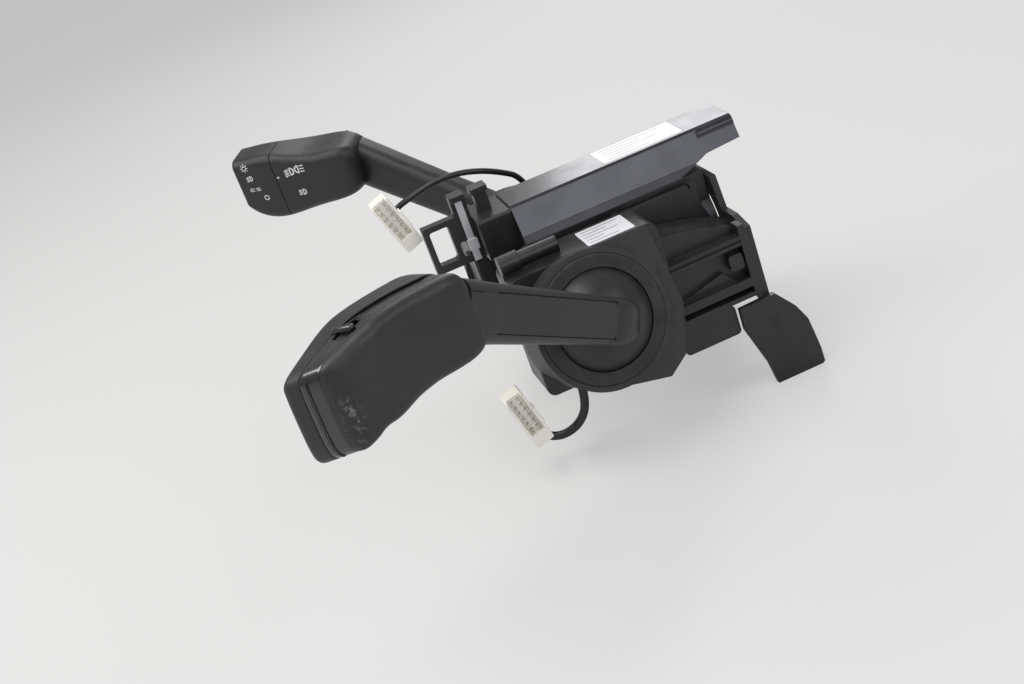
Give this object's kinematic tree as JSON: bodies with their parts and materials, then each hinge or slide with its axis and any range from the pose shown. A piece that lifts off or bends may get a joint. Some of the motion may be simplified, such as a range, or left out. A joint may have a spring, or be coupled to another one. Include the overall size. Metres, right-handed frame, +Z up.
{
  "type": "combination stalk switch",
  "caption": "Steering-column switch unit with two pivoting stalks, a slider, a rotary end knob, a controller box, column bore and wiring plugs.",
  "frame": {"origin": "centre of the steering-column bore, midway between the two stalk collars", "axes": "+Y along the column towards the front of the vehicle, +Z up, +X towards the right-hand (wiper) stalk"},
  "size_m": [0.3294, 0.2253, 0.1465],
  "materials": {
    "housing_plastic": "matte moulded",
    "cover_plastic": "smooth satin",
    "board": "lacquered",
    "pin_metal": "tinned",
    "latch_plastic": "satin",
    "clip_steel": "bright",
    "ring_rubber": "matte",
    "mechanism_plastic": "natural",
    "arm_plastic": "satin",
    "strip_plastic": "satin",
    "head_plastic": "fine grain",
    "gloss_plastic": "polished",
    "lead_cover": "satin",
    "connector_plastic": "natural"
  },
  "bodies": {
    "column_unit": {"carrier_frame": "housing_plastic", "control_box_base": "housing_plastic", "socket_shroud": "housing_plastic", "right_switch_housing": "housing_plastic", "left_switch_housing": "housing_plastic", "right_back_cover": "housing_plastic", "left_back_cover": "housing_plastic", "right_collar": "housing_plastic", "left_collar": "housing_plastic", "end_plate": "housing_plastic", "right_cowl_leg": "housing_plastic", "left_cowl_leg": "housing_plastic", "control_box_cover": "cover_plastic", "control_board": "board", "right_contact_board": "board", "left_contact_board": "board", "socket_pins": "pin_metal", "lower_plug_pins": "pin_metal", "upper_plug_pins": "pin_metal", "latch_bracket": "latch_plastic", "spring_clip": "clip_steel", "bracket_screws": "clip_steel", "right_seal_ring": "ring_rubber", "left_seal_ring": "ring_rubber", "right_pivot_bracket": "mechanism_plastic", "left_pivot_bracket": "mechanism_plastic", "right_detent_cam": "mechanism_plastic", "left_detent_cam": "mechanism_plastic", "upper_lead": "lead_cover", "lower_harness": "lead_cover", "upper_plug": "connector_plastic", "lower_plug": "connector_plastic"},
    "right_rocker_body": {"right_rocker": "mechanism_plastic", "right_pull_pin": "clip_steel"},
    "right_stalk": {"right_stalk_arm": "arm_plastic", "right_arm_strip": "strip_plastic", "right_pivot_block": "mechanism_plastic", "right_head_front": "head_plastic", "right_head_back": "head_plastic", "right_end_cap": "gloss_plastic", "right_head_board": "board", "right_detent_spring": "clip_steel"},
    "right_plunger_body": {"right_detent_plunger": "mechanism_plastic"},
    "right_carriage_body": {"right_contact_carriage": "mechanism_plastic"},
    "left_rocker_body": {"left_rocker": "mechanism_plastic", "left_pull_pin": "clip_steel"},
    "left_stalk": {"left_stalk_arm": "arm_plastic", "left_arm_strip": "strip_plastic", "left_pivot_block": "mechanism_plastic", "left_head_front": "head_plastic", "left_head_back": "head_plastic", "left_head_board": "board", "left_detent_spring": "clip_steel"},
    "left_plunger_body": {"left_detent_plunger": "mechanism_plastic"},
    "left_carriage_body": {"left_contact_carriage": "mechanism_plastic"},
    "right_slider_body": {"right_slider": "gloss_plastic"},
    "left_knob_body": {"left_end_knob": "head_plastic", "left_knob_spindle": "mechanism_plastic"}
  },
  "joints": [
    {"name": "right_turn", "type": "hinge", "parent": "column_unit", "child": "right_rocker_body", "pos_m": [0.0543, -0.0013, -0.0027], "axis": [0, 1, 0], "range_deg": [-12, 6]},
    {"name": "right_pull", "type": "hinge", "parent": "right_rocker_body", "child": "right_stalk", "pos_m": [0.0543, -0.0013, -0.0027], "axis": [0, 0, 1], "range_deg": [-6, 6], "stiffness_Nm_per_rad": 8},
    {"name": "right_plunger", "type": "slide", "parent": "right_stalk", "child": "right_plunger_body", "axis": [1, 0, 0], "range_m": [0, 0.0012], "stiffness_N_per_m": 500, "springref_m": -0.002, "deforming": ["right_detent_spring"]},
    {"name": "right_carriage", "type": "slide", "parent": "column_unit", "child": "right_carriage_body", "axis": [0, 0, 1], "range_m": [-0.0045, 0.0045]},
    {"name": "left_turn", "type": "hinge", "parent": "column_unit", "child": "left_rocker_body", "pos_m": [-0.0543, -0.0013, -0.0027], "axis": [0, 1, 0], "range_deg": [-10, 10]},
    {"name": "left_pull", "type": "hinge", "parent": "left_rocker_body", "child": "left_stalk", "pos_m": [-0.0543, -0.0013, -0.0027], "axis": [0, 0, 1], "range_deg": [-6, 6], "stiffness_Nm_per_rad": 8},
    {"name": "left_plunger", "type": "slide", "parent": "left_stalk", "child": "left_plunger_body", "axis": [-1, 0, 0], "range_m": [0, 0.0012], "stiffness_N_per_m": 500, "springref_m": -0.002, "deforming": ["left_detent_spring"]},
    {"name": "left_carriage", "type": "slide", "parent": "column_unit", "child": "left_carriage_body", "axis": [0, 0, 1], "range_m": [-0.0045, 0.0045]},
    {"name": "right_slider_slide", "type": "slide", "parent": "right_stalk", "child": "right_slider_body", "axis": [-0.4785, 0.8273, 0.2943], "range_m": [0, 0.007]},
    {"name": "left_knob_turn", "type": "hinge", "parent": "left_stalk", "child": "left_knob_body", "pos_m": [-0.12604, -0.06216, 0.05054], "axis": [-0.4729, -0.8798, 0.049], "range_deg": [0, 60]}
  ],
  "couplings": [
    {"joint": "right_carriage", "follows": "right_turn", "m_per_rad": 0.0168},
    {"joint": "left_carriage", "follows": "left_turn", "m_per_rad": -0.0168}
  ]
}
